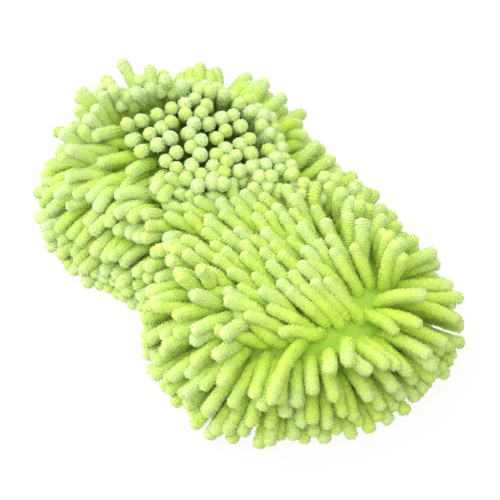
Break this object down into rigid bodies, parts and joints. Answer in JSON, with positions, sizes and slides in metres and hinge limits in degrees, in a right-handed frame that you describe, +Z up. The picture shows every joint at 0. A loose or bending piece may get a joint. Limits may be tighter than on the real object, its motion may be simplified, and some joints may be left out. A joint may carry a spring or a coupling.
{
  "type": "wash mitt",
  "caption": "Figure-eight chenille wash mitt: a sponge core in a cloth cover with a noodle pile, a bound edge and an elastic hand strap across its hollow back.",
  "frame": {"origin": "middle of the mitt, on the plane that its binding tape rests on", "axes": "+X along the mitt through both lobes, towards the lobe with the parting; +Y across it; +Z up, out of the noodle side"},
  "size_m": [0.2652, 0.1566, 0.0676],
  "materials": {
    "chenille": "velvety chenille pile",
    "cover_cloth": "knitted cloth",
    "back_cloth": "plain woven cloth",
    "binding_tape": "ribbed tape",
    "elastic": "ribbed elastic webbing",
    "sponge": "open-cell foam"
  },
  "bodies": {
    "pad": {"foam_core": "sponge", "cover_cloth": "cover_cloth", "back_panel": "back_cloth", "edge_binding": "binding_tape", "strap_end_left": "elastic", "strap_end_right": "elastic", "side_noodles_1": "chenille", "side_noodles_2": "chenille", "side_noodles_3": "chenille", "side_noodles_4": "chenille", "top_noodles_1": "chenille", "top_noodles_2": "chenille", "top_noodles_3": "chenille", "top_noodles_4": "chenille", "top_noodles_5": "chenille", "top_noodles_6": "chenille", "top_noodles_7": "chenille", "top_noodles_8": "chenille", "top_noodles_9": "chenille", "top_noodles_10": "chenille", "top_noodles_11": "chenille", "top_noodles_12": "chenille", "top_noodles_13": "chenille", "top_noodles_14": "chenille", "top_noodles_15": "chenille", "top_noodles_16": "chenille", "top_noodles_17": "chenille"},
    "strap": {"hand_strap": "elastic"}
  },
  "joints": [
    {"name": "strap_lift", "type": "slide", "parent": "pad", "child": "strap", "axis": [0, 0, -1], "range_m": [0, 0.022], "stiffness_N_per_m": 120, "deforming": ["strap_end_left", "strap_end_right"]}
  ]
}
